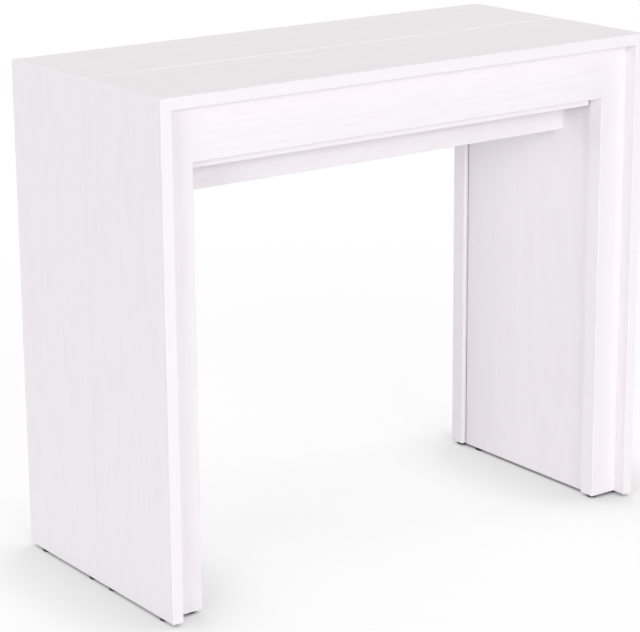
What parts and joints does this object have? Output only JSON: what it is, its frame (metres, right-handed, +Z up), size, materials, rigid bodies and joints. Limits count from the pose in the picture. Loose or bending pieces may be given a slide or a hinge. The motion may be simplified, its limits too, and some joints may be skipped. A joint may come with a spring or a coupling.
{
  "type": "extending console table",
  "caption": "White ash-grain console table whose top and sides part at mid depth; the front half pulls out on telescopic guides to carry loose leaves.",
  "frame": {"origin": "on the floor under the middle of the closed table", "axes": "+X along the top to the right as seen from the front, -Y towards the front that pulls out, +Z up"},
  "size_m": [0.9, 0.41, 0.77],
  "materials": {
    "white_ash_melamine": "satin, embossed with fine ash grain",
    "anodised_aluminium": "anodised, fine extrusion lines",
    "zinc_plated_steel": "bright zinc plating",
    "black_nylon": "moulded, matt",
    "beech": "turned, untreated"
  },
  "bodies": {
    "rear_half": {"rear_top": "white_ash_melamine", "rear_apron": "white_ash_melamine", "rear_side_left": "white_ash_melamine", "rear_side_right": "white_ash_melamine", "rear_post_left": "white_ash_melamine", "rear_post_right": "white_ash_melamine", "rear_dowels": "beech", "rear_angles": "zinc_plated_steel", "rear_hangers": "zinc_plated_steel", "rear_screws": "zinc_plated_steel", "rear_glides": "black_nylon", "leaf_sockets": "black_nylon", "guide_rail_0_left": "anodised_aluminium", "guide_rail_0_right": "anodised_aluminium", "stop_pins_0": "zinc_plated_steel"},
    "guide_stage_1": {"guide_rail_1_left": "anodised_aluminium", "guide_rail_1_right": "anodised_aluminium", "crossbar_1": "anodised_aluminium", "crossbar_screws_1": "zinc_plated_steel", "stop_pins_1": "zinc_plated_steel"},
    "guide_stage_2": {"guide_rail_2_left": "anodised_aluminium", "guide_rail_2_right": "anodised_aluminium", "crossbar_2": "anodised_aluminium", "crossbar_screws_2": "zinc_plated_steel", "stop_pins_2": "zinc_plated_steel"},
    "guide_stage_3": {"guide_rail_3_left": "anodised_aluminium", "guide_rail_3_right": "anodised_aluminium", "crossbar_3": "anodised_aluminium", "crossbar_screws_3": "zinc_plated_steel", "stop_pins_3": "zinc_plated_steel"},
    "guide_stage_4": {"guide_rail_4_left": "anodised_aluminium", "guide_rail_4_right": "anodised_aluminium", "crossbar_4": "anodised_aluminium", "crossbar_screws_4": "zinc_plated_steel", "stop_pins_4": "zinc_plated_steel"},
    "guide_stage_5": {"guide_rail_5_left": "anodised_aluminium", "guide_rail_5_right": "anodised_aluminium", "crossbar_5": "anodised_aluminium", "crossbar_screws_5": "zinc_plated_steel", "stop_pins_5": "zinc_plated_steel"},
    "front_half": {"front_top": "white_ash_melamine", "front_apron": "white_ash_melamine", "front_side_left": "white_ash_melamine", "front_side_right": "white_ash_melamine", "front_post_left": "white_ash_melamine", "front_post_right": "white_ash_melamine", "front_batten": "white_ash_melamine", "leg_panel_left": "white_ash_melamine", "leg_panel_right": "white_ash_melamine", "stretcher": "white_ash_melamine", "front_dowels": "beech", "front_angles": "zinc_plated_steel", "front_hangers": "zinc_plated_steel", "front_screws": "zinc_plated_steel", "front_frame_screws": "zinc_plated_steel", "front_glides": "black_nylon", "leaf_pins": "beech", "guide_rail_6_left": "anodised_aluminium", "guide_rail_6_right": "anodised_aluminium"}
  },
  "joints": [
    {"name": "extension", "type": "slide", "parent": "rear_half", "child": "front_half", "axis": [0, -1, 0], "range_m": [0, 1.44]},
    {"name": "guide_stage_1_slide", "type": "slide", "parent": "rear_half", "child": "guide_stage_1", "axis": [0, -1, 0], "range_m": [0, 0.24]},
    {"name": "guide_stage_2_slide", "type": "slide", "parent": "rear_half", "child": "guide_stage_2", "axis": [0, -1, 0], "range_m": [0, 0.48]},
    {"name": "guide_stage_3_slide", "type": "slide", "parent": "rear_half", "child": "guide_stage_3", "axis": [0, -1, 0], "range_m": [0, 0.72]},
    {"name": "guide_stage_4_slide", "type": "slide", "parent": "rear_half", "child": "guide_stage_4", "axis": [0, -1, 0], "range_m": [0, 0.96]},
    {"name": "guide_stage_5_slide", "type": "slide", "parent": "rear_half", "child": "guide_stage_5", "axis": [0, -1, 0], "range_m": [0, 1.2]}
  ],
  "couplings": [
    {"joint": "guide_stage_1_slide", "follows": "extension", "ratio": 0.16667},
    {"joint": "guide_stage_2_slide", "follows": "extension", "ratio": 0.33333},
    {"joint": "guide_stage_3_slide", "follows": "extension", "ratio": 0.5},
    {"joint": "guide_stage_4_slide", "follows": "extension", "ratio": 0.66667},
    {"joint": "guide_stage_5_slide", "follows": "extension", "ratio": 0.83333}
  ]
}
